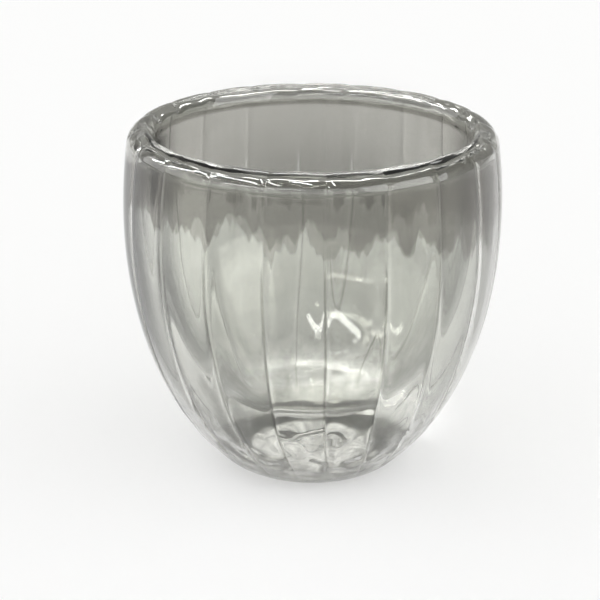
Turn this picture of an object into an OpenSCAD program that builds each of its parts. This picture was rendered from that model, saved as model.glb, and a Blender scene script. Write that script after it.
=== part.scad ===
// Chai glass with two walls: a ribbed outer glass, a smooth bowl inside it that is
// fused to it at a round lip, and a small seal in the vent hole under the base.
// It stands on z = 0, and the Z axis runs up the middle of the bowl.

/* [Body] */
// Width over the widest place of the outer glass
body_w = 88; // [80:0.5:96]
// Height from the table to the top of the lip
body_h = 82.5; // [78:0.5:90]
// Height of the widest place above the table
belly_z = 62.5; // [57:0.5:67]
// Width of the flat ring that the glass stands on
foot_w = 32; // [28:0.5:38]
// Fullness of the outer wall below the widest place, where 2 is an ellipse
wall_power = 2.06; // [1.9:0.02:2.4]

/* [Glass thickness] */
// Outer wall, between two grooves
outer_wall = 1.5; // [1.2:0.1:2.2]
// Wall of the bowl
bowl_wall = 1.4; // [1.1:0.1:2]
// Base of the outer glass over the hollow underneath
base_wall = 2.4; // [1.8:0.1:3.4]
// Bottom of the bowl
bowl_floor = 2; // [1.5:0.1:3]

/* [Lip] */
// Width of the broad shoulder, from the outer wall to the highest line of the lip
lip_shoulder_w = 4.4; // [3.6:0.1:5.4]
// Width of the narrow edge, from the highest line of the lip to the bowl
lip_edge_w = 2.2; // [1.8:0.1:3]
// Height of the lip above the seam
lip_rise = 4.4; // [3.8:0.1:5.2]
// Thickness of the fused glass at the top of the lip
lip_crown = 2; // [1.6:0.1:2.6]

/* [Bowl] */
// Height of the underside of the bowl above the table
bowl_lift = 16; // [13:0.5:21]
// Width of the bowl where its wall meets its flat bottom
bowl_foot_w = 35; // [30:0.5:40]
// Fullness of the bowl, where 2 is an ellipse
bowl_power = 2.2; // [1.9:0.02:2.6]

/* [Ribs] */
// Number of panels round the outer glass, with a groove between each two
rib_count = 20; // [14:1:26]
// Depth of a groove below the panels beside it
rib_depth = 0.5; // [0.2:0.05:0.8]
// Turn of the pattern about the axis, in degrees
rib_turn = 4; // [0:0.5:18]
// Height over which the grooves fade out into the foot
rib_fade_low = 5; // [3:0.5:12]
// Height over which the grooves fade out under the lip
rib_fade_high = 4; // [2:0.5:10]

/* [Vent] */
// Width of the hollow in the underside of the base
punt_w = 20; // [15:0.5:24]
// Depth of that hollow
punt_h = 1.4; // [1.2:0.1:2.4]
// Bore of the vent hole
vent_d = 3; // [2:0.1:4]
// Width of the button that seals the vent hole
button_w = 6; // [5:0.5:10]
// Height of that button
button_h = 0.9; // [0.5:0.1:1.1]
// Gap round the stem of the seal, on each side
stem_gap = 0.05; // [0.03:0.01:0.15]

/* [Hidden] */

// Corner where a wall runs into its flat bottom: how far in and how far up it goes
foot_roll_w = 2.2;
foot_roll_h = 3.2;
bowl_roll_w = 3;
bowl_roll_h = 3.4;

// Slope of the rim of the hollow under the base, and the overrun of every cut
punt_slope = 1.2;
cut_over = 1;
// The foot sits this far inside the panels that it carries, and reaches up into them
foot_inset = 0.05;
foot_lap = 1;

// Fineness of the curves
wall_steps = 20;
wall_crowding = 1.35;
corner_step = 15;
rib_points = 5;
rib_rings = 20;
groove_power = 2;
$fn = 160;

body_r = body_w / 2;
seam_z = body_h - lip_rise;
base_top = punt_h + base_wall;
bowl_top = bowl_lift + bowl_floor;

// The outer glass, and the hollow between the walls
outer_drop = drop_to(foot_w / 2 + foot_roll_w, belly_z, body_r, wall_power);
seam_r = egg_r(seam_z, body_r, outer_drop, wall_power, 1);
hollow_r = body_r - outer_wall;
hollow_drop = outer_drop - outer_wall;
hollow_seam_r = egg_r(seam_z, hollow_r, hollow_drop, wall_power, 1);

// The highest line of the lip
crest_r = seam_r - lip_shoulder_w;

// The bowl, outside and inside
wet_r = crest_r - lip_edge_w;
dry_r = wet_r + bowl_wall;
dry_drop = drop_to(bowl_foot_w / 2, belly_z - bowl_lift, dry_r, bowl_power);
wet_drop = dry_drop - bowl_wall;

function ease(t) = let (c = max(0, min(1, t))) c * c * (3 - 2 * c);

// How far below the belly an egg curve closes if it has radius low_r at depth below it
function drop_to(low_r, depth, half_w, power) =
    depth / pow(1 - pow(low_r / half_w, 2), 1 / power);

// Radius of an egg curve at height z; above the belly it closes in by the share top
function egg_r(z, half_w, drop, power, top) =
    half_w * sqrt(1 - pow((z > belly_z ? top * (z - belly_z) : belly_z - z) / drop, power));

// How far the rounded corner at the bottom of a wall draws it in
function roll_in(rise, roll_w, roll_h) =
    rise < roll_h ? roll_w * (1 - sqrt(1 - pow(1 - rise / roll_h, 2))) : 0;

// Heights above the bottom of a wall, closer together in its corner and low down
function corner_rises(roll_h) = [for (a = [0 : corner_step : 90 - corner_step]) roll_h * (1 - cos(a))];
function wall_rises(roll_h, height) =
    [for (i = [0 : wall_steps]) roll_h + (height - roll_h) * pow(i / wall_steps, wall_crowding)];

// Outline of a wall from its flat bottom at height low up to height high
function wall_line(low, high, half_w, drop, power, top, roll_w, roll_h) =
    [for (rise = concat(corner_rises(roll_h), wall_rises(roll_h, high - low)))
        [egg_r(low + rise, half_w, drop, power, top) - roll_in(rise, roll_w, roll_h), low + rise]];

// Points round an arc over the seam, from one angle to another
function over_seam(mid_r, wide, tall, from, to) =
    [for (i = [0 : wall_steps]) let (a = from + (to - from) * i / wall_steps)
        [mid_r + wide * cos(a), seam_z + tall * sin(a)]];

// Share of the groove depth at a step round the glass, and at height z
function groove_round(step) = pow(1 - sin(180 * (step % rib_points) / rib_points), groove_power);
function groove_up(z) = ease((z - foot_roll_h) / rib_fade_low) * ease((seam_z - z) / rib_fade_high);

// Panels of the outer glass, from the top of the rounded foot to the seam under the lip
module ribbed_body() {
    round_steps = rib_count * rib_points;
    points = [
        for (k = [0 : rib_rings])
            let (z = foot_roll_h + (seam_z - foot_roll_h) * pow(k / rib_rings, wall_crowding))
            let (r = egg_r(z, body_r, outer_drop, wall_power, 1))
            for (i = [0 : round_steps - 1])
                let (a = rib_turn + 360 * i / round_steps)
                let (rr = r - rib_depth * groove_round(i) * groove_up(z))
                [rr * sin(a), -rr * cos(a), z]
    ];
    sides = [
        for (k = [0 : rib_rings - 1])
            for (i = [0 : round_steps - 1])
                let (j = (i + 1) % round_steps, low = k * round_steps, high = low + round_steps)
                for (face = [[low + i, high + i, high + j], [low + i, high + j, low + j]]) face
    ];
    bottom = [for (i = [0 : round_steps - 1]) i];
    top = [for (i = [round_steps - 1 : -1 : 0]) rib_rings * round_steps + i];
    polyhedron(points, concat([bottom, top], sides));
}

// Rounded foot, with the flat ring that the glass stands on
module foot() {
    corner = [
        for (rise = corner_rises(foot_roll_h))
            [egg_r(rise, body_r, outer_drop, wall_power, 1) - roll_in(rise, foot_roll_w, foot_roll_h), rise]
    ];
    neck_r = egg_r(foot_roll_h, body_r, outer_drop, wall_power, 1)
        * cos(180 / (rib_count * rib_points)) - foot_inset;
    rotate_extrude()
        polygon(concat([[0, 0]], corner, [
            [neck_r, foot_roll_h],
            [neck_r, foot_roll_h + foot_lap],
            [0, foot_roll_h + foot_lap]
        ]));
}

// The space between the walls, open at the seam
module wall_hollow() {
    side = wall_line(base_top, seam_z, hollow_r, hollow_drop, wall_power, 1, foot_roll_w, foot_roll_h);
    rotate_extrude()
        polygon(concat([[0, base_top]], side, [
            [hollow_seam_r, seam_z + cut_over],
            [0, seam_z + cut_over]
        ]));
}

module outer_shell() {
    punt_top_w = punt_w - 2 * punt_slope * punt_h;
    color([0.80, 0.84, 0.82, 0.45])
        difference() {
            union() {
                ribbed_body();
                foot();
            }
            wall_hollow();
            translate([0, 0, -cut_over])
                cylinder(d1 = punt_w + 2 * punt_slope * cut_over, d2 = punt_top_w, h = punt_h + cut_over);
            cylinder(d = vent_d, h = base_top + cut_over);
        }
}

module inner_bowl() {
    dry = wall_line(bowl_lift, seam_z, dry_r, dry_drop, bowl_power, 0, bowl_roll_w, bowl_roll_h);
    wet = wall_line(bowl_top, seam_z, wet_r, wet_drop, bowl_power, 0, bowl_roll_w, bowl_roll_h);
    arch = over_seam((dry_r + hollow_seam_r) / 2, (hollow_seam_r - dry_r) / 2, lip_rise - lip_crown, 180, 0);
    shoulder = over_seam(crest_r, lip_shoulder_w, lip_rise, 0, 90);
    edge = over_seam(crest_r, lip_edge_w, lip_rise, 90, 180);
    color([0.86, 0.88, 0.87, 0.45])
        rotate_extrude()
            polygon(concat(
                [[0, bowl_lift]], dry, [for (i = [1 : len(arch) - 1]) arch[i]],
                shoulder, [for (i = [1 : len(edge) - 1]) edge[i]],
                [for (i = [len(wet) - 2 : -1 : 0]) wet[i]], [[0, bowl_top]]
            ));
}

module vent_plug() {
    button = [
        for (a = [0 : corner_step : 90])
            [button_w / 2 * sin(a), punt_h - button_h * cos(a)]
    ];
    stem_r = vent_d / 2 - stem_gap;
    color([0.90, 0.92, 0.90, 0.7])
        rotate_extrude()
            polygon(concat(button, [[stem_r, punt_h], [stem_r, base_top], [0, base_top]]));
}

outer_shell();
inner_bowl();
vent_plug();
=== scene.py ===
import bpy
import bmesh
import math
from mathutils import Matrix, Vector, noise


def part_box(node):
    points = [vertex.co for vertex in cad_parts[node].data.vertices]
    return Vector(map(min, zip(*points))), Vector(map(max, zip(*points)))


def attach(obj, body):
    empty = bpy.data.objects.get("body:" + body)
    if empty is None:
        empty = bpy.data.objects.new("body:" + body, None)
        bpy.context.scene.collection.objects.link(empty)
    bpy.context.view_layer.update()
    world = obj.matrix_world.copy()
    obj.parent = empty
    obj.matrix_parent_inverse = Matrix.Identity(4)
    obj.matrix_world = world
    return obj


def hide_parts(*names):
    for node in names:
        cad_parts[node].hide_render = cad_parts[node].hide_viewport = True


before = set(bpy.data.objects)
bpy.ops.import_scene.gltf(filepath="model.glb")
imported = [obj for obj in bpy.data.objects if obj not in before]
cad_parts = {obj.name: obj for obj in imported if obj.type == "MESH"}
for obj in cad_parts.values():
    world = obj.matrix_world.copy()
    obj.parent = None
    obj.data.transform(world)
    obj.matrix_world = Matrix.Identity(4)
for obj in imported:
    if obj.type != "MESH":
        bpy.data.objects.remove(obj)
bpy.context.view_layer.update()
mm = 0.001

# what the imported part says: the outer glass, the bowl with the lip, and the seal
shellLow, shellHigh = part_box("outer_shell")
bowlLow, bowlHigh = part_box("inner_bowl")
plugLow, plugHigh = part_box("vent_plug")
print("frame loaded")

margin = 0.05 * mm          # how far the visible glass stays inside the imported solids
mergeWithin = 0.002 * mm
axisWidth = 1e-7            # a point this close to the axis lies on it

shell = {
    "radius": (shellHigh[0] - shellLow[0]) / 2 - margin,
    "seam": shellHigh[2],
    "belly": 62.5 * mm,     # height of the widest place
    "footRadius": 16 * mm,
    "power": 2.06,          # fullness of the wall, where 2 is an ellipse
    "wall": 1.5 * mm,
    "base": 2.4 * mm,
    "rollWide": 2.2 * mm,   # the corner where the wall runs into the foot
    "rollHigh": 3.2 * mm,
    "puntRadius": 10 * mm,  # the hollow under the base, and the soft rim round it
    "puntHigh": 1.4 * mm,
    "puntRim": 0.5 * mm,
    "boreRadius": 1.5 * mm,
    "rows": 84,
    "baseRows": 12,
}
ribs = {
    "count": 20,
    "acrossPanel": 20,      # faces across one panel
    "crowd": 0.72,          # how far those faces gather at the grooves
    "turn": math.radians(4),
    "panel": 0.06 * mm,     # how far a panel crowns out over its edges
    "round": 1.5,           # the power of that crown
    "groove": 0.24 * mm,
    "sharp": 5,             # the power of a groove, where more is narrower
    "dryPanel": 1.0,        # share of each on the dry side of the wall
    "dryGroove": 0.1,
    "startShare": 0.6,      # the grooves start this far up the rounded foot
    "fadeLow": 5 * mm,
    "upLip": 2.6 * mm,      # and run this far up onto the lip
    "fadeHigh": 1.4 * mm,
    "swirl": math.radians(9),
    "swirlHigh": 13 * mm,
    "darkAt": -0.02,        # where the painted shade and the painted highlight lie on the two flanks of a groove, in panels from its middle
    "lightAt": 0.035,
    "flank": 0.024,
    "flankFrom": 56 * mm,   # the height where the flanks start to fade
    "flankFade": 10 * mm,
    "flankHigh": 0.12,      # the share of them that is left above that
}
bowl = {
    "wall": 1.4 * mm,
    "floor": 2.0 * mm,
    "lift": bowlLow[2],
    "footRadius": 17.5 * mm,
    "power": 2.2,
    "rollWide": 4.5 * mm,
    "rollHigh": 4.4 * mm,
    "rows": 60,
    "floorRows": 8,
    "floorReach": 0.1 * mm,     # points this little above the floor belong to it
}
lip = {
    "rise": bowlHigh[2] - shellHigh[2] - margin,
    "shoulder": 4.4 * mm,
    "edge": 2.2 * mm,
    "crown": 2.0 * mm,
    "rows": 30,
    "wave": 0.14 * mm,
    "waveSize": 5 * mm,
    "waveSeed": Vector((3, 1, 7)),
    "waveBelow": 2 * mm,    # the waves start this far under the seam
    "waveGrow": 3 * mm,
    "archWave": 0.40 * mm,  # the same waves in the arch between the two walls
    "archGrow": 0.4 * mm,
    "scallop": 0.22 * mm,   # how far the top of the lip dips where a groove ends
    "scallopSharp": 2,
    "knot": 0.22 * mm,      # the pinch at the upper end of a groove
    "knotSharp": 4,
    "knotUp": 3.2 * mm,
    "knotHigh": 0.9 * mm,
}
waves = {
    "wall": 0.05 * mm,
    "bowl": 0.05 * mm,
    "size": 16 * mm,
    "sideStep": 0.1,        # how far the noise of one side of the glass lies from the next one's
    "bias": 0.6,            # leans the waves inwards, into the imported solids
    "footHigh": 6 * mm,     # they grow over this height above the foot
    "low": 0.42 * mm,       # crumpled glass low down, where the mould was coolest
    "lowSize": 3.6 * mm,
    "lowHigh": 26 * mm,
    "flat": 0.10 * mm,      # the bottom of the bowl and the base aren't quite flat
    "flatSize": 7 * mm,
    "flatSeed": 2,
    "flatGrow": 2 * mm,
    "wander": math.radians(0.9),
    "wanderSize": 34 * mm,
}
seal = {
    "radius": (plugHigh[0] - plugLow[0]) / 2,
    "swell": 0.2 * (shell["puntHigh"] - plugLow[2]),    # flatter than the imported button
    "rows": 8,
}
walls = {
    "cornerRows": 6,
    "even": 0.35,           # the share of even rows; the others crowd towards both ends of the wall
}


def ease(t):
    t = max(0.0, min(1.0, t))
    return t * t * (3 - 2 * t)


# an egg curve that is widest at the belly, and a wall that rolls into its flat bottom
def dropTo(lowRadius, depth, radius, power):
    return depth / (1 - (lowRadius / radius) ** 2) ** (1 / power)


def eggRadius(z, radius, drop, power, top):
    away = top * (z - shell["belly"]) if z > shell["belly"] else shell["belly"] - z
    return radius * math.sqrt(1 - (away / drop) ** power)


def wallRows(low, high, radius, drop, power, top, rollWide, rollHigh, rows):
    points = []
    for i in range(walls["cornerRows"]):
        rise = rollHigh * (1 - math.cos(math.radians(90 * i / walls["cornerRows"])))
        drawIn = rollWide * (1 - math.sqrt(1 - (1 - rise / rollHigh) ** 2))
        points.append((eggRadius(low + rise, radius, drop, power, top) - drawIn, low + rise))
    for i in range(rows + 1):
        u = i / rows
        share = walls["even"] * u + (1 - walls["even"]) * (0.5 - 0.5 * math.cos(math.pi * u))
        rise = rollHigh + (high - low - rollHigh) * share
        points.append((eggRadius(low + rise, radius, drop, power, top), low + rise))
    return points


outerDrop = dropTo(shell["footRadius"] + shell["rollWide"], shell["belly"], shell["radius"], shell["power"])
seamRadius = eggRadius(shell["seam"], shell["radius"], outerDrop, shell["power"], 1)
hollowRadius = shell["radius"] - shell["wall"]
hollowDrop = outerDrop - shell["wall"]
hollowSeam = eggRadius(shell["seam"], hollowRadius, hollowDrop, shell["power"], 1)
crestRadius = seamRadius - lip["shoulder"]
wetRadius = crestRadius - lip["edge"]
dryRadius = wetRadius + bowl["wall"]
dryDrop = dropTo(bowl["footRadius"], shell["belly"] - bowl["lift"], dryRadius, bowl["power"])
wetDrop = dryDrop - bowl["wall"]
baseTop = shell["puntHigh"] + shell["base"]

outside, dryShell, dryBowl, wet, under, baseFace = 1, 2, 3, 4, 5, 6


# a row is radius, height, side of the glass and whether another piece of glass is fused to it there
def rowsOf(points, side, fused=0):
    return [(r, z, side, fused) for r, z in points]


def shellRows():
    wall = wallRows(0, shell["seam"], shell["radius"], outerDrop, shell["power"], 1,
                    shell["rollWide"], shell["rollHigh"], shell["rows"])
    hollow = wallRows(baseTop, shell["seam"], hollowRadius, hollowDrop, shell["power"], 1,
                      shell["rollWide"], shell["rollHigh"], shell["rows"])
    steps = shell["baseRows"]
    rimWide = shell["puntRadius"] + shell["puntRim"] - seal["radius"]
    rows = [(shell["boreRadius"], shell["puntHigh"], under, 1)]
    for i in range(steps + 1):
        r = seal["radius"] + rimWide * i / steps
        rows.append((r, shell["puntHigh"] * (1 - ease(i / steps)), under, 1 if i == 0 else 0))
    rows += rowsOf(wall[:-1], outside) + rowsOf(wall[-1:], outside, 1)
    rows += rowsOf(hollow[-1:], dryShell, 1) + rowsOf(hollow[-2::-1], dryShell)
    rows += rowsOf([(hollow[0][0] * (1 - i / steps), baseTop) for i in range(1, steps - 1)], baseFace)
    rows += [(shell["boreRadius"], baseTop, under, 1)]
    return rows


def bowlRows():
    dry = wallRows(bowl["lift"], shell["seam"], dryRadius, dryDrop, bowl["power"], 0,
                   bowl["rollWide"], bowl["rollHigh"], bowl["rows"])
    inner = wallRows(bowl["lift"] + bowl["floor"], shell["seam"], wetRadius, wetDrop, bowl["power"], 0,
                     bowl["rollWide"], bowl["rollHigh"], bowl["rows"])
    steps = bowl["floorRows"]
    rows = rowsOf([(dry[0][0] * i / steps, bowl["lift"]) for i in range(steps)] + dry, dryBowl)
    middle = (dryRadius + hollowSeam) / 2
    wide = (hollowSeam - dryRadius) / 2
    for i in range(1, lip["rows"]):
        a = math.pi * (1 - i / lip["rows"])
        z = shell["seam"] + (lip["rise"] - lip["crown"]) * math.sin(a)
        rows.append((middle + wide * math.cos(a), z, dryShell, 0))
    rows += [(hollowSeam, shell["seam"], dryShell, 1), (seamRadius, shell["seam"], outside, 1)]
    for i in range(1, lip["rows"] + 1):
        a = math.pi * i / lip["rows"]
        side = outside if i < lip["rows"] / 2 else wet
        wide = lip["shoulder"] if i < lip["rows"] / 2 else lip["edge"]
        rows.append((crestRadius + wide * math.cos(a), shell["seam"] + lip["rise"] * math.sin(a), side, 0))
    rows += rowsOf(inner[-2::-1], wet)
    rows += rowsOf([(inner[0][0] * (1 - i / steps), inner[0][1]) for i in range(1, steps + 1)], wet)
    return rows


def sealRows():
    rows = []
    for i in range(seal["rows"] + 1):
        a = math.radians(90 * i / seal["rows"])
        z = shell["puntHigh"] - seal["swell"] * math.cos(a)
        rows.append((seal["radius"] * math.sin(a), z, under, 1 if i == seal["rows"] else 0))
    rows += rowsOf([(shell["boreRadius"], shell["puntHigh"]), (shell["boreRadius"], baseTop)], under, 1)
    rows += [(0, baseTop, under, 0)]
    return rows


def grooveUp(z):
    low = ease((z - shell["rollHigh"] * ribs["startShare"]) / ribs["fadeLow"])
    return low * (1 - ease((z - shell["seam"] - ribs["upLip"]) / ribs["fadeHigh"]))


# 1 in the middle of a groove and 0 in the middle of a panel
def grooveShare(a):
    return 1 - math.sin(math.pi * ((a * ribs["count"] / (2 * math.pi)) % 1))


def pressed(a, z, panel, groove):
    dip = grooveShare(a)
    crown = ribs["panel"] * panel * dip ** ribs["round"]
    return (crown + ribs["groove"] * groove * dip ** ribs["sharp"]) * grooveUp(z)


# below 0 where a groove's flank gets painted shade and above 0 where its other flank gets a painted
# highlight
def flankPaintedLight(a, z):
    u = (a * ribs["count"] / (2 * math.pi) + 0.5) % 1 - 0.5
    dark = math.exp(-((u - ribs["darkAt"]) / ribs["flank"]) ** 2)
    light = math.exp(-((u - ribs["lightAt"]) / ribs["flank"]) ** 2)
    fade = 1 - (1 - ribs["flankHigh"]) * ease((z - ribs["flankFrom"]) / ribs["flankFade"])
    return (light - dark) * fade * grooveUp(z)


# how far a point of a flat bottom lies above or below it
def flatWave(side, r, co):
    if side in (dryBowl, wet) and co.z < bowl["lift"] + bowl["floor"] + bowl["floorReach"]:
        return waves["flat"] * noise.noise(co / waves["flatSize"] + Vector((side, waves["flatSeed"], 0)))
    if side == baseFace:
        fromBore = ease((r - shell["boreRadius"]) / waves["flatGrow"])
        return waves["flat"] * noise.noise(co / waves["flatSize"]) * fromBore
    return 0


# how far a point of a wall is pressed in, by the panels and by the unevenness of hand-blown glass
def sunkAt(side, a, z, spot):
    bed = spot + Vector((0, 0, waves["sideStep"] * side))
    uneven = noise.noise(bed / waves["size"]) - waves["bias"]
    sunk = 0
    if side == outside:
        up = (z - shell["seam"] - lip["knotUp"]) / lip["knotHigh"]
        sunk = pressed(a, z, 1, 1) + lip["knot"] * grooveShare(a) ** lip["knotSharp"] * math.exp(-up * up)
    if side == dryShell:
        sunk = pressed(a, min(z, shell["seam"]), ribs["dryPanel"], ribs["dryGroove"])
    if side in (outside, dryShell):
        aboveFoot = ease(z / waves["footHigh"])
        low = (1 - ease(z / waves["lowHigh"])) * aboveFoot
        sunk -= waves["wall"] * uneven * aboveFoot
        sunk -= waves["low"] * low * (noise.noise(bed / waves["lowSize"]) - waves["bias"])
    if side in (dryBowl, wet):
        sunk -= waves["bowl"] * uneven
    return sunk


# how far the waves of the lip move a point up
def liftAt(side, a, z, spot):
    onLip = ease((z - shell["seam"] + lip["waveBelow"]) / lip["waveGrow"])
    ripple = noise.noise(spot / lip["waveSize"] + lip["waveSeed"])
    if side in (outside, wet):
        scallop = lip["scallop"] * grooveShare(a) ** lip["scallopSharp"]
        return -onLip * (lip["wave"] * (0.5 + 0.5 * ripple) + scallop)
    if side == dryShell:
        return onLip * lip["archWave"] * ripple * ease((z - shell["seam"]) / lip["archGrow"])
    return 0


def shapeGlass(bm, sideOf, paintedLightOf):
    # gathers the faces at the grooves, presses the panels in, and turns the pattern as it goes down
    n = ribs["count"]
    for v in bm.verts:
        side = v[sideOf]
        r = math.hypot(v.co.x, v.co.y)
        z = v.co.z + flatWave(side, r, v.co)
        if r < axisWidth:
            v.co.z = z
            continue
        a = math.atan2(v.co.x, -v.co.y)
        a -= ribs["crowd"] * math.sin(n * a) / n
        spot = Vector((r * math.sin(a), -r * math.cos(a), z))
        if side == outside:
            v[paintedLightOf] = flankPaintedLight(a, z)
        r -= sunkAt(side, a, z, spot)
        z += liftAt(side, a, z, spot)
        turn = a + ribs["turn"] + ribs["swirl"] * math.exp(-z / ribs["swirlHigh"])
        turn += waves["wander"] * noise.noise(spot / waves["wanderSize"])
        v.co = (r * math.sin(turn), -r * math.cos(turn), z)


def spunPiece(name, rows):
    bm = bmesh.new()
    sideOf = bm.verts.layers.int.new("side")
    fusedOf = bm.verts.layers.int.new("fused")
    paintedLightOf = bm.verts.layers.float.new("flank")
    verts = []
    for r, z, side, fused in rows:
        v = bm.verts.new((r, 0, z))
        v[sideOf] = side
        v[fusedOf] = fused
        verts.append(v)
    edges = [bm.edges.new(pair) for pair in zip(verts, verts[1:])]
    if rows[0][0] > 0:
        edges.append(bm.edges.new((verts[-1], verts[0])))
    bmesh.ops.spin(bm, geom=verts + edges, axis=(0, 0, 1), cent=(0, 0, 0), dvec=(0, 0, 0), angle=2 * math.pi,
                   steps=ribs["count"] * ribs["acrossPanel"], use_merge=True, use_duplicate=False)
    bmesh.ops.remove_doubles(bm, verts=bm.verts, dist=mergeWithin)
    bmesh.ops.recalc_face_normals(bm, faces=bm.faces)
    for face in bm.faces:
        hidden = all(v[fusedOf] for v in face.verts)
        face.material_index = 1 if hidden else 0
        face.smooth = True
        if hidden:
            for edge in face.edges:
                edge.smooth = False
    shapeGlass(bm, sideOf, paintedLightOf)
    mesh = bpy.data.meshes.new(name)
    bm.to_mesh(mesh)
    bm.free()
    piece = bpy.data.objects.new(name, mesh)
    bpy.context.collection.objects.link(piece)
    print(name, len(mesh.polygons), "faces")
    return piece


# a socket takes a number, a colour or the output of another node
def feed(tree, value, socket):
    if isinstance(value, (int, float)):
        socket.default_value = value
    elif isinstance(value, tuple):
        socket.default_value = (*value, 1)
    else:
        tree.links.new(value, socket)


def mathNode(tree, kind, a, b):
    node = tree.nodes.new("ShaderNodeMath")
    node.operation = kind
    feed(tree, a, node.inputs[0])
    feed(tree, b, node.inputs[1])
    return node.outputs[0]


def lengthNode(tree, vector):
    node = tree.nodes.new("ShaderNodeVectorMath")
    node.operation = "LENGTH"
    feed(tree, vector, node.inputs[0])
    return node.outputs["Value"]


def smoothStep(tree, value, span):
    node = tree.nodes.new("ShaderNodeMapRange")
    node.interpolation_type = "SMOOTHSTEP"
    node.inputs["From Min"].default_value = span[0]
    node.inputs["From Max"].default_value = span[1]
    feed(tree, value, node.inputs["Value"])
    return node.outputs[0]


def mixColour(tree, share, a, b):
    node = tree.nodes.new("ShaderNodeMix")
    node.data_type = "RGBA"
    feed(tree, share, node.inputs[0])
    feed(tree, a, node.inputs[6])
    feed(tree, b, node.inputs[7])
    return node.outputs[2]


def noiseNode(tree, vector, scale, detail, stretch=(1, 1, 1), distortion=0):
    mapping = tree.nodes.new("ShaderNodeMapping")
    mapping.inputs["Scale"].default_value = stretch
    feed(tree, vector, mapping.inputs["Vector"])
    node = tree.nodes.new("ShaderNodeTexNoise")
    node.inputs["Scale"].default_value = scale
    node.inputs["Detail"].default_value = detail
    node.inputs["Distortion"].default_value = distortion
    feed(tree, mapping.outputs[0], node.inputs["Vector"])
    return node.outputs["Fac"]


def newMaterial(name):
    mat = bpy.data.materials.new(name)
    mat.use_nodes = True
    tree = mat.node_tree
    tree.nodes.clear()
    out = tree.nodes.new("ShaderNodeOutputMaterial")
    bsdf = tree.nodes.new("ShaderNodeBsdfPrincipled")
    feed(tree, bsdf.outputs["BSDF"], out.inputs["Surface"])
    return mat, tree, bsdf


tints = {
    # darker outer foot ring: partly the thick glass's own colour, partly painted contact shade where it
    # meets the paper
    "foot": (0.36, 0.36, 0.32),
    "low": (1.0, 1.0, 0.985),           # clear glass near the base
    # the walls' grey: partly the glass's own grey-green, partly painted shade for the grey room seen through
    # it
    "clear": (0.87, 0.875, 0.845),
    "bowl": (0.97, 0.975, 0.96),
    # painted shade on the lip, lighter than that of the upper walls
    "lip": (0.52, 0.52, 0.49),
    "paintedRoomShade": (0.43, 0.42, 0.395),       # painted shade: stands for the darker room that the upper glass shows
    "dark": (0.40, 0.40, 0.37),         # painted shade on one flank of each groove and on the right side, and darker streaks and noise
    # painted highlight on the other flank of each groove
    "light": (1.0, 1.0, 0.98),
    "edge": (0.0, 0.0, 0.0),            # painted shade where the glass is seen edge on
}
# how strongly each effect shows
finish = {
    "ior": 1.47,
    "ripple": 0.01 * mm,
    "lipLines": 2.5,
    "ragged": 24 * mm,                  # how far the lower edge of the painted room shade runs up and down
    "paintedRoomShadeAside": 0.06,                 # it reaches lower on the right and at the back
    "paintedRoomShadeBehind": 0.19,
    "wisps": 0.14,                      # how far streaks along the wall darken it
    "creased": 0.36,                    # how far a noise pattern darkens the glass low down
    "aside": 0.12,                      # painted shade: how far the right side is darker than the left
    "edgeLow": 0.55,                    # how much of the painted dark outline is left low down
    "edgeRight": 0.45,                  # how much of it is missing on the right
}
# where each effect starts and where it is complete
spans = {
    "foot": (0, 9 * mm),                # heights
    "low": (10 * mm, 27 * mm),
    "upWall": (12 * mm, 40 * mm),
    "paintedRoomShade": (59.5 * mm, 60.9 * mm),
    "paintedRoomShadeEnd": (77.3 * mm, 78.1 * mm),
    "lipLines": (76 * mm, 78 * mm),
    "lip": (76 * mm, 79 * mm),
    "inside": (15 * mm, 13 * mm),       # distance from the axis
    "rightward": (-28 * mm, 38 * mm),   # from left to right
    "right": (0, 40 * mm),
    "wisps": (0.42, 0.68),              # of the noise
    "creases": (0.47, 0.58),
    "flank": (0.05, 0.8),
    "edge": (0.40, 0.82),               # from facing the eye to edge on
}
# scale, detail and stretch of each noise
grain = {
    "teeth": (210, 2, (1, 1, 0.11)),
    "wisps": (110, 3, (1, 1, 0.09)),
    "creases": (280, 5, (1, 1, 0.5)),
    "lipLines": (60, 2, (1, 1, 22)),
    "smears": (60, 3),
    "ripple": (140, 1),
}


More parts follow.
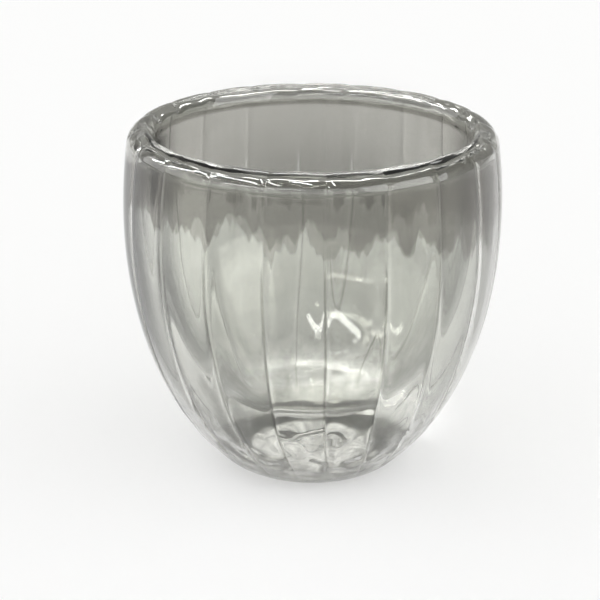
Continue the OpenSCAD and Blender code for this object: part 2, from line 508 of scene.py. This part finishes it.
def blownGlassGroup():
    # the glass's tint, with painted shade that deepens towards the lip and darkens the foot, the right side
    # and the outline, a painted highlight and shade along each groove, faint smears, and the fine ripple of
    # fire-polished glass
    group = bpy.data.node_groups.new("blownGlass", "ShaderNodeTree")
    for name in ("Foot", "Low", "Clear", "PaintedRoomShade", "Lip", "Dark", "Light"):
        group.interface.new_socket(name, in_out="INPUT", socket_type="NodeSocketColor")
    group.interface.new_socket("Smear", in_out="INPUT", socket_type="NodeSocketFloat")
    group.interface.new_socket("Tint", in_out="OUTPUT", socket_type="NodeSocketColor")
    for name in ("Roughness", "Height", "Edge"):
        group.interface.new_socket(name, in_out="OUTPUT", socket_type="NodeSocketFloat")
    given = group.nodes.new("NodeGroupInput")
    result = group.nodes.new("NodeGroupOutput")
    coords = group.nodes.new("ShaderNodeTexCoord")
    split = group.nodes.new("ShaderNodeSeparateXYZ")
    feed(group, coords.outputs["Object"], split.inputs[0])
    across = group.nodes.new("ShaderNodeCombineXYZ")
    feed(group, split.outputs["X"], across.inputs["X"])
    feed(group, split.outputs["Y"], across.inputs["Y"])
    flank = group.nodes.new("ShaderNodeAttribute")
    flank.attribute_name = "flank"
    rightward = split.outputs["X"]
    backward = split.outputs["Y"]
    height = split.outputs["Z"]

    def times(a, b):
        return mathNode(group, "MULTIPLY", a, b)

    def plus(a, b):
        return mathNode(group, "ADD", a, b)

    def without(a):
        return mathNode(group, "SUBTRACT", 1, a)

    def reached(value, name):
        return smoothStep(group, value, spans[name])

    def noisy(name):
        return noiseNode(group, coords.outputs["Object"], *grain[name])

    def tinted(share, tint, name):
        return mixColour(group, share, tint, given.outputs[name])

    # the painted room shade's lower edge slants, and streaks make it ragged
    streak = times(mathNode(group, "SUBTRACT", noisy("teeth"), 0.5), finish["ragged"])
    slant = plus(times(backward, finish["paintedRoomShadeBehind"]), streak)
    slanted = plus(plus(height, times(rightward, finish["paintedRoomShadeAside"])), slant)
    onLip = reached(height, "paintedRoomShadeEnd")
    paintedRoomShadeShare = times(reached(slanted, "paintedRoomShade"), without(onLip))

    fromLow = reached(height, "low")
    fromFoot = reached(lengthNode(group, across.outputs[0]), "inside")
    fromFoot = mathNode(group, "MAXIMUM", reached(height, "foot"), fromFoot)
    wisp = times(reached(noisy("wisps"), "wisps"), finish["wisps"])
    crease = times(times(reached(noisy("creases"), "creases"), without(fromLow)), finish["creased"])
    # painted shade on the right side
    paintedShadeRight = times(times(reached(rightward, "rightward"), fromLow), finish["aside"])
    # the outer foot ring darkens: partly the thick glass's colour, partly painted contact shade
    tint = tinted(fromFoot, given.outputs["Foot"], "Low")
    tint = tinted(fromLow, tint, "Clear")
    tint = tinted(plus(plus(wisp, crease), paintedShadeRight), tint, "Dark")
    # painted shade on the upper walls, standing for the darker room seen through them
    tint = tinted(paintedRoomShadeShare, tint, "PaintedRoomShade")
    # painted shade on the lip
    tint = tinted(onLip, tint, "Lip")
    # a painted highlight and painted shade along the two flanks of each groove
    tint = tinted(reached(flank.outputs["Fac"], "flank"), tint, "Light")
    tint = tinted(reached(times(flank.outputs["Fac"], -1), "flank"), tint, "Dark")
    feed(group, tint, result.inputs["Tint"])

    # how far the painted shade of the outline may darken it: not on the lip, and less low down and on the
    # right
    belowLip = without(reached(height, "lip"))
    onLeft = without(times(reached(rightward, "right"), finish["edgeRight"]))
    upWall = mathNode(group, "MAXIMUM", reached(height, "upWall"), finish["edgeLow"])
    feed(group, times(times(belowLip, onLeft), upWall), result.inputs["Edge"])

    feed(group, times(noisy("smears"), given.outputs["Smear"]), result.inputs["Roughness"])
    lined = times(times(reached(height, "lipLines"), without(onLip)), finish["lipLines"])
    feed(group, plus(noisy("ripple"), times(noisy("lipLines"), lined)), result.inputs["Height"])
    return group


def glassMaterial(name, smear, clear, paintedRoomShade):
    mat, tree, bsdf = newMaterial(name)
    blown = tree.nodes.new("ShaderNodeGroup")
    blown.node_tree = blownGlass
    for part in ("Foot", "Low", "Lip", "Dark", "Light"):
        feed(tree, tints[part.lower()], blown.inputs[part])
    feed(tree, tints[clear], blown.inputs["Clear"])
    feed(tree, tints[paintedRoomShade], blown.inputs["PaintedRoomShade"])
    feed(tree, smear, blown.inputs["Smear"])
    bump = tree.nodes.new("ShaderNodeBump")
    bump.inputs["Strength"].default_value = 1
    bump.inputs["Distance"].default_value = finish["ripple"]
    feed(tree, blown.outputs["Height"], bump.inputs["Height"])
    # painted shade at the outline, standing partly for the longer path through the glass and partly for the
    # darker room seen there
    facing = tree.nodes.new("ShaderNodeLayerWeight")
    facing.inputs["Blend"].default_value = 0.5
    edgeOn = smoothStep(tree, facing.outputs["Facing"], spans["edge"])
    darkened = mathNode(tree, "MULTIPLY", edgeOn, blown.outputs["Edge"])
    feed(tree, mixColour(tree, darkened, blown.outputs["Tint"], tints["edge"]), bsdf.inputs["Base Color"])
    feed(tree, blown.outputs["Roughness"], bsdf.inputs["Roughness"])
    feed(tree, bump.outputs["Normal"], bsdf.inputs["Normal"])
    bsdf.inputs["IOR"].default_value = finish["ior"]
    bsdf.inputs["Transmission Weight"].default_value = 1.0
    return mat


def fusedMaterial():
    # where two pieces are fused there is no surface to see
    mat, tree, bsdf = newMaterial("fusedContact")
    bsdf.inputs["Alpha"].default_value = 0
    return mat


pieces = {
    "ribbed_outer_glass": {"node": "outer_shell", "rows": shellRows, "slot": "outer_glass",
                           "smear": 0.012, "clear": "clear", "paintedRoomShade": "paintedRoomShade"},
    "tea_bowl_and_lip": {"node": "inner_bowl", "rows": bowlRows, "slot": "bowl_glass",
                         "smear": 0.016, "clear": "bowl", "paintedRoomShade": "bowl"},
    "vent_seal": {"node": "vent_plug", "rows": sealRows, "slot": "seal_glass",
                  "smear": 0.02, "clear": "bowl", "paintedRoomShade": "bowl"},
}

blownGlass = blownGlassGroup()
fusedGlass = fusedMaterial()
for name, part in pieces.items():
    piece = spunPiece(name, part["rows"]())
    piece.data.materials.append(glassMaterial(name + "_glass", part["smear"], part["clear"], part["paintedRoomShade"]))
    piece.data.materials.append(fusedGlass)
    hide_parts(part["node"])
    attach(piece, "root")
print("glass finished")


stage = {
    "size": 6,
    "paper": (0.96, 0.96, 0.96),
    "matte": 0.9,
    "gap": 0.08 * mm,               # the paper lies just under the foot, so the two surfaces don't coincide
    "pool": (16 * mm, 13.6 * mm),   # distance from the foot's middle over which the painted glow grows
    "poolColour": (1.0, 1.0, 0.97),
    "poolGrain": (260, 3, (1, 1, 1), 1.2),
    "poolFrom": (0.35, 0.70),       # this span of the noise becomes this span of painted light
    "poolTo": (0.3, 1.2),
}


def makeFloor():
    bpy.ops.mesh.primitive_plane_add(size=stage["size"])
    floor = bpy.context.object
    floor.name = "floor"
    floor.data.transform(Matrix.Translation((0, 0, -stage["gap"])))
    mat, tree, bsdf = newMaterial("paleFloor")
    feed(tree, stage["paper"], bsdf.inputs["Base Color"])
    bsdf.inputs["Roughness"].default_value = stage["matte"]
    bsdf.inputs["Specular IOR Level"].default_value = 0.0
    # painted light: the paper glows under the foot, standing for the light that the thick foot gathers under
    # itself
    coords = tree.nodes.new("ShaderNodeTexCoord")
    near = smoothStep(tree, lengthNode(tree, coords.outputs["Object"]), stage["pool"])
    glow = tree.nodes.new("ShaderNodeMapRange")
    glow.inputs["From Min"].default_value = stage["poolFrom"][0]
    glow.inputs["From Max"].default_value = stage["poolFrom"][1]
    glow.inputs["To Min"].default_value = stage["poolTo"][0]
    glow.inputs["To Max"].default_value = stage["poolTo"][1]
    feed(tree, noiseNode(tree, coords.outputs["Object"], *stage["poolGrain"]), glow.inputs["Value"])
    feed(tree, stage["poolColour"], bsdf.inputs["Emission Color"])
    feed(tree, mathNode(tree, "MULTIPLY", near, glow.outputs[0]), bsdf.inputs["Emission Strength"])
    floor.data.materials.append(mat)
    print("paper laid")


room = {
    "horizon": (0.80, 0.80, 0.80),
    "above": (0.72, 0.72, 0.72),
    "behind": (0.42, 0.42, 0.40),
    "aboveFrom": 0.45,              # height on the unit sphere
    "backward": (-0.1, 0.5),        # from where the front ends to where the back is complete
}


def makeRoom():
    world = bpy.data.worlds.new("room")
    bpy.context.scene.world = world
    world.use_nodes = True
    tree = world.node_tree
    coords = tree.nodes.new("ShaderNodeTexCoord")
    split = tree.nodes.new("ShaderNodeSeparateXYZ")
    feed(tree, coords.outputs["Generated"], split.inputs[0])
    ramp = tree.nodes.new("ShaderNodeValToRGB")
    ramp.color_ramp.elements[0].position = 0.0
    ramp.color_ramp.elements[0].color = (*room["horizon"], 1)
    ramp.color_ramp.elements[1].position = room["aboveFrom"]
    ramp.color_ramp.elements[1].color = (*room["above"], 1)
    feed(tree, split.outputs["Z"], ramp.inputs["Fac"])
    share = smoothStep(tree, split.outputs["Y"], room["backward"])
    colour = mixColour(tree, share, ramp.outputs["Color"], room["behind"])
    feed(tree, colour, tree.nodes["Background"].inputs["Color"])
    tree.nodes["Background"].inputs["Strength"].default_value = 1.0
    print("room made")


view = {
    "distance": 484 * mm,
    "rise": math.radians(20.01),
    "aimHigh": 39.58 * mm,
    "aimSide": -2.79 * mm,
    "roll": math.radians(0.23),
    "lens": 123.06,
    "sensor": 36,
    "nearest": 10 * mm,
}


def makeCamera():
    data = bpy.data.cameras.new("camera")
    cam = bpy.data.objects.new("camera", data)
    bpy.context.collection.objects.link(cam)
    data.sensor_width = view["sensor"]
    data.lens = view["lens"]
    data.clip_start = view["nearest"]
    back = view["distance"] * math.cos(view["rise"])
    place = Vector((0, -back, view["aimHigh"] + view["distance"] * math.sin(view["rise"])))
    aim = Vector((view["aimSide"], 0, view["aimHigh"]))
    turn = (aim - place).to_track_quat("-Z", "Y").to_matrix().to_4x4()
    cam.matrix_world = Matrix.Translation(place) @ turn @ Matrix.Rotation(view["roll"], 4, "Z")
    bpy.context.scene.camera = cam
    print("camera set")


# azimuth 0 is in front of the glass, where the camera stands, and rise is degrees above the table
lampAim = 40 * mm           # all lamps but the caustic point at this height on the axis
key = {"azimuth": 0, "rise": 17, "away": 0, "tilt": 0, "angle": 9, "strength": 4.4}
caustic = {
    "azimuth": 180,
    "rise": 58,
    "away": 0.9,
    "tilt": 0,
    "shift": Vector((5 * mm, 30 * mm, -40 * mm)),
    "cone": math.radians(3.2),
    "soft": 12 * mm,
    "energy": 80,
}
# three bright walls of the room, strips that show as strokes in the glass, and a lamp behind the rim
windows = {
    "frontWall": {"azimuth": -12, "rise": 20, "away": 1.5, "tilt": 0,
                  "wide": 3.0, "tall": 0.86, "glow": 2.0},
    "leftWall": {"azimuth": -90, "rise": 20, "away": 1.5, "tilt": 0,
                 "wide": 2.0, "tall": 0.86, "glow": 2.0},
    "rightWall": {"azimuth": 57, "rise": 20, "away": 1.5, "tilt": 0,
                  "wide": 1.4, "tall": 0.86, "glow": 4.0},
    "longStrip": {"azimuth": -61, "rise": 51, "away": 1.0, "tilt": 0,
                  "wide": 0.88, "tall": 0.07, "glow": 34},
    "bentStrip": {"azimuth": -7, "rise": 62, "away": 1.0, "tilt": -55,
                  "wide": 0.40, "tall": 0.06, "glow": 38},
    "sideStrip": {"azimuth": -104, "rise": 33, "away": 1.0, "tilt": 40,
                  "wide": 0.6, "tall": 0.06, "glow": 34},
    "lowStrip": {"azimuth": -30, "rise": 27, "away": 1.0, "tilt": 0,
                 "wide": 0.9, "tall": 0.035, "glow": 14},
    "backLamp": {"azimuth": 176, "rise": 46, "away": 1.2, "tilt": 0,
                 "wide": 0.5, "tall": 0.2, "glow": 5},
}


def toward(azimuth, rise):
    a = math.radians(azimuth)
    e = math.radians(rise)
    return Vector((math.sin(a) * math.cos(e), -math.cos(a) * math.cos(e), math.sin(e)))


def newLamp(name, kind, given):
    data = bpy.data.lights.new(name, kind)
    lamp = bpy.data.objects.new(name, data)
    bpy.context.collection.objects.link(lamp)
    out = toward(given["azimuth"], given["rise"])
    place = Matrix.Translation(out * given["away"] + Vector((0, 0, lampAim)))
    turn = out.to_track_quat("Z", "Y").to_matrix().to_4x4()
    lamp.matrix_world = place @ turn @ Matrix.Rotation(math.radians(given["tilt"]), 4, "Z")
    lamp.visible_camera = False
    return lamp, data


def makeKey():
    # lights the paper, and its shadow falls behind the glass
    lamp, data = newLamp("key", "SUN", key)
    data.angle = math.radians(key["angle"])
    data.energy = key["strength"]
    lamp.visible_glossy = False
    lamp.visible_transmission = False


def makeCaustic():
    # the patch of light that the glass throws on the paper behind its foot
    lamp, data = newLamp("caustic", "SPOT", caustic)
    lamp.matrix_world = Matrix.Translation(caustic["shift"]) @ lamp.matrix_world
    data.energy = caustic["energy"]
    data.spot_size = caustic["cone"]
    data.spot_blend = 1.0
    data.shadow_soft_size = caustic["soft"]
    lamp.visible_glossy = False
    lamp.visible_transmission = False


def makeWindow(name, window):
    # seen only in and through the glass, as the bright parts of the room are
    lamp, data = newLamp(name, "AREA", window)
    data.shape = "RECTANGLE"
    data.size = window["wide"]
    data.size_y = window["tall"]
    data.energy = math.pi * window["wide"] * window["tall"] * window["glow"]
    lamp.visible_diffuse = False


makeFloor()
makeRoom()
makeCamera()
makeKey()
makeCaustic()
for name, window in windows.items():
    makeWindow(name, window)
print("lamps lit")

# light has to pass many walls of glass, or the rim and the edges turn black
glassBounces = 64
fusedBounces = 32
scene = bpy.context.scene
scene.view_settings.view_transform = "Standard"
scene.cycles.max_bounces = glassBounces
scene.cycles.transmission_bounces = glassBounces
scene.cycles.glossy_bounces = glassBounces
scene.cycles.transparent_max_bounces = fusedBounces
